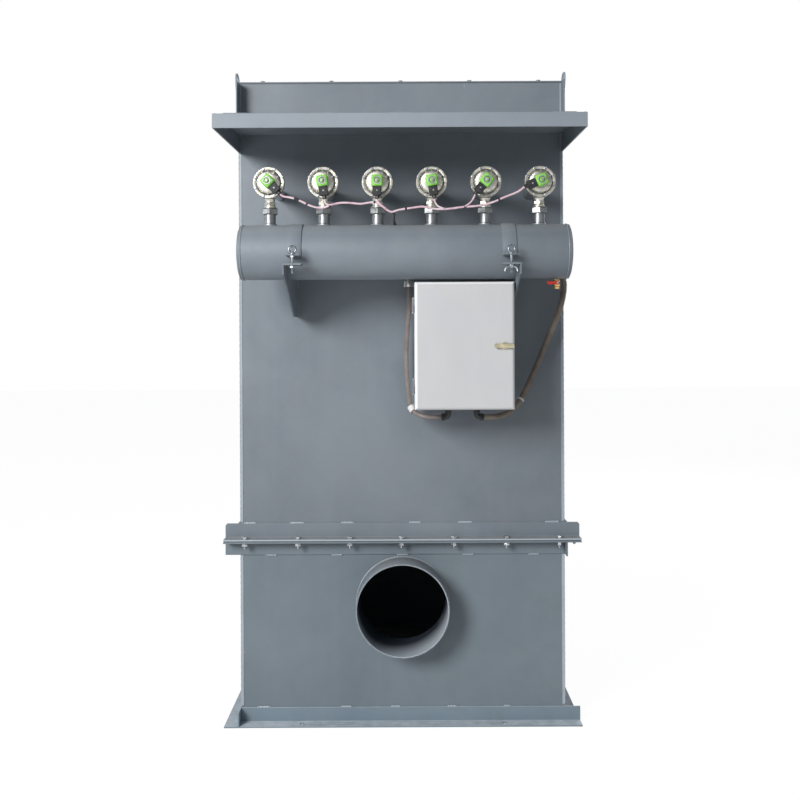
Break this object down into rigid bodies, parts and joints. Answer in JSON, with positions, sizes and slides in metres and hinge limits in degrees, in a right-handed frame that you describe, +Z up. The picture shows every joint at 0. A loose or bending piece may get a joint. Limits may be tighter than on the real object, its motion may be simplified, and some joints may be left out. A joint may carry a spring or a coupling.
{
  "type": "pulse bag dust collector",
  "caption": "Square sheet-steel pulse bag dust collector with round inlet and outlet, rain hood, air tank, pulse valves and a control box.",
  "frame": {"origin": "centre of the base, on the underside of the base flange", "axes": "+X to the right seen from the front, +Y from front to back, +Z up"},
  "size_m": [1.16, 1.615, 2.1402],
  "materials": {
    "cabinet_paint": "satin",
    "rubber": "matt",
    "felt": "matt",
    "zinc_steel": "satin",
    "cast_aluminium": "satin",
    "green_resin": "satin",
    "black_plastic": "satin",
    "box_paint": "satin",
    "lock_metal": "satin",
    "fitting_metal": "satin",
    "brass": "satin",
    "red_plastic": "satin",
    "pink_cable": "satin",
    "dark_cable": "satin",
    "grey_conduit": "satin",
    "brown_conduit": "satin"
  },
  "bodies": {
    "root": {"base_flange_front": "cabinet_paint", "base_flange_back": "cabinet_paint", "base_flange_left": "cabinet_paint", "base_flange_right": "cabinet_paint", "chamber_front": "cabinet_paint", "chamber_back": "cabinet_paint", "chamber_left": "cabinet_paint", "chamber_right": "cabinet_paint", "inlet_collar": "cabinet_paint", "lower_flange_front": "cabinet_paint", "lower_flange_back": "cabinet_paint", "lower_flange_sides": "cabinet_paint", "flange_gasket": "rubber", "upper_flange_front": "cabinet_paint", "upper_flange_back": "cabinet_paint", "upper_flange_sides": "cabinet_paint", "housing_front": "cabinet_paint", "housing_back": "cabinet_paint", "housing_left": "cabinet_paint", "housing_right": "cabinet_paint", "bag_plate": "cabinet_paint", "filter_bags": "felt", "blow_pipes": "zinc_steel", "outlet_collar": "cabinet_paint", "top_frame": "cabinet_paint", "top_gasket": "rubber", "top_cover": "cabinet_paint", "hood_roof": "cabinet_paint", "hood_cheeks": "cabinet_paint", "lifting_eyes": "cabinet_paint", "air_tank": "cabinet_paint", "tank_ends": "cabinet_paint", "tank_brackets": "cabinet_paint", "tank_straps": "cabinet_paint", "riser_pipes": "zinc_steel", "union_nuts": "zinc_steel", "valve_bodies": "cast_aluminium", "valve_covers": "cast_aluminium", "coils": "green_resin", "coil_plugs": "black_plastic", "box_rails": "zinc_steel", "box_case": "box_paint", "conduit_fittings": "fitting_metal", "drain_valve": "brass", "valve_wiring": "pink_cable", "wiring_drop": "dark_cable", "left_conduit": "grey_conduit", "right_conduit": "brown_conduit"},
    "box_door": {"box_door": "box_paint"},
    "door_lock": {"door_lock": "lock_metal"},
    "drain_lever": {"drain_lever": "red_plastic"}
  },
  "joints": [
    {"name": "door_hinge", "type": "hinge", "parent": "root", "child": "box_door", "pos_m": [0.0365, -0.793, 1.2345], "axis": [0, 0, -1], "range_deg": [0, 110]},
    {"name": "lock_turn", "type": "hinge", "parent": "box_door", "child": "door_lock", "pos_m": [0.31, -0.82, 1.2345], "axis": [0, -1, 0], "range_deg": [0, 90]},
    {"name": "drain_turn", "type": "hinge", "parent": "root", "child": "drain_lever", "pos_m": [0.472, -0.8, 1.4235], "axis": [0, -1, 0], "range_deg": [0, 90]}
  ]
}
